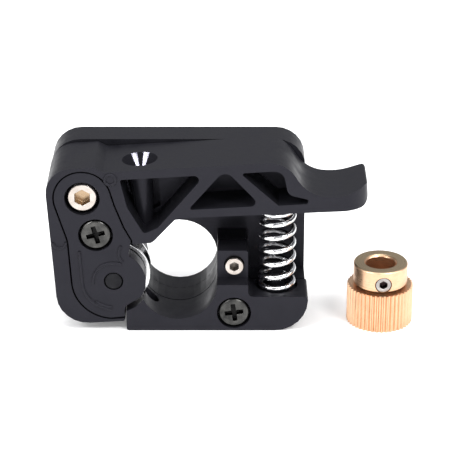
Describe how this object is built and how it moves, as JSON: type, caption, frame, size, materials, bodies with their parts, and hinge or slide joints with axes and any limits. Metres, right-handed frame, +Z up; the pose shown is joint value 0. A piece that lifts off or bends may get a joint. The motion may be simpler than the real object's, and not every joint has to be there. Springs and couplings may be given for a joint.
{
  "type": "spring-lever extruder drive block with drive gear",
  "caption": "Black moulded filament drive block with a sprung idler lever, a V-groove bearing and a spring, beside its loose brass drive gear",
  "frame": {"origin": "on the base, straight below the motor axis and halfway through the rear half of the block", "axes": "X to the right along the handle, Y from the front face to the motor, Z up"},
  "size_m": [0.0609, 0.0179, 0.0305],
  "materials": {
    "rear_body": "fine moulded texture, black",
    "front_plate": "fine moulded texture, black",
    "block_screw": "black oxide",
    "block_insert": "turned",
    "pad_screw": "bright zinc",
    "pivot_screw": "bright zinc",
    "pivot_bush": "turned",
    "spring": "bright plated wire",
    "lever_arm": "fine moulded texture, black",
    "bearing_cover": "fine moulded texture, black",
    "cover_screw": "black oxide",
    "cover_insert": "turned",
    "bearing_pin": "black oxide",
    "bearing_inner": "ground",
    "bearing_outer": "ground",
    "shield_front": "dark",
    "shield_rear": "dark",
    "ball_1": "polished",
    "ball_2": "polished",
    "ball_3": "polished",
    "ball_4": "polished",
    "ball_5": "polished",
    "ball_6": "polished",
    "ball_7": "polished",
    "drive_gear": "satin, freshly machined",
    "gear_set_screw": "bright zinc"
  },
  "bodies": {
    "drive_block": {"rear_body": "rear_body", "front_plate": "front_plate", "block_screw": "block_screw", "block_insert": "block_insert", "pad_screw": "pad_screw", "pivot_screw": "pivot_screw", "pivot_bush": "pivot_bush", "spring": "spring"},
    "idler_lever": {"lever_arm": "lever_arm", "bearing_cover": "bearing_cover", "cover_screw": "cover_screw", "cover_insert": "cover_insert", "bearing_pin": "bearing_pin", "bearing_inner": "bearing_inner"},
    "idler_bearing": {"bearing_outer": "bearing_outer", "shield_front": "shield_front", "shield_rear": "shield_rear", "ball_1": "ball_1", "ball_2": "ball_2", "ball_3": "ball_3", "ball_4": "ball_4", "ball_5": "ball_5", "ball_6": "ball_6", "ball_7": "ball_7"},
    "gear": {"drive_gear": "drive_gear", "gear_set_screw": "gear_set_screw"}
  },
  "joints": [
    {"name": "lever_pivot", "type": "hinge", "parent": "drive_block", "child": "idler_lever", "pos_m": [-0.0155, -0.007, 0.0242], "axis": [0, 1, 0], "range_deg": [0, 10], "stiffness_Nm_per_rad": 1, "springref_deg": -8.59, "deforming": ["spring"]},
    {"name": "idler_spin", "type": "hinge", "parent": "idler_lever", "child": "idler_bearing", "pos_m": [-0.0107, -0.0071, 0.0092], "axis": [0, 1, 0], "continuous": true},
    {"name": "gear_spin", "type": "hinge", "parent": "drive_block", "child": "gear", "pos_m": [0.03394, -0.0074, 0], "axis": [0, 0, 1], "continuous": true}
  ]
}
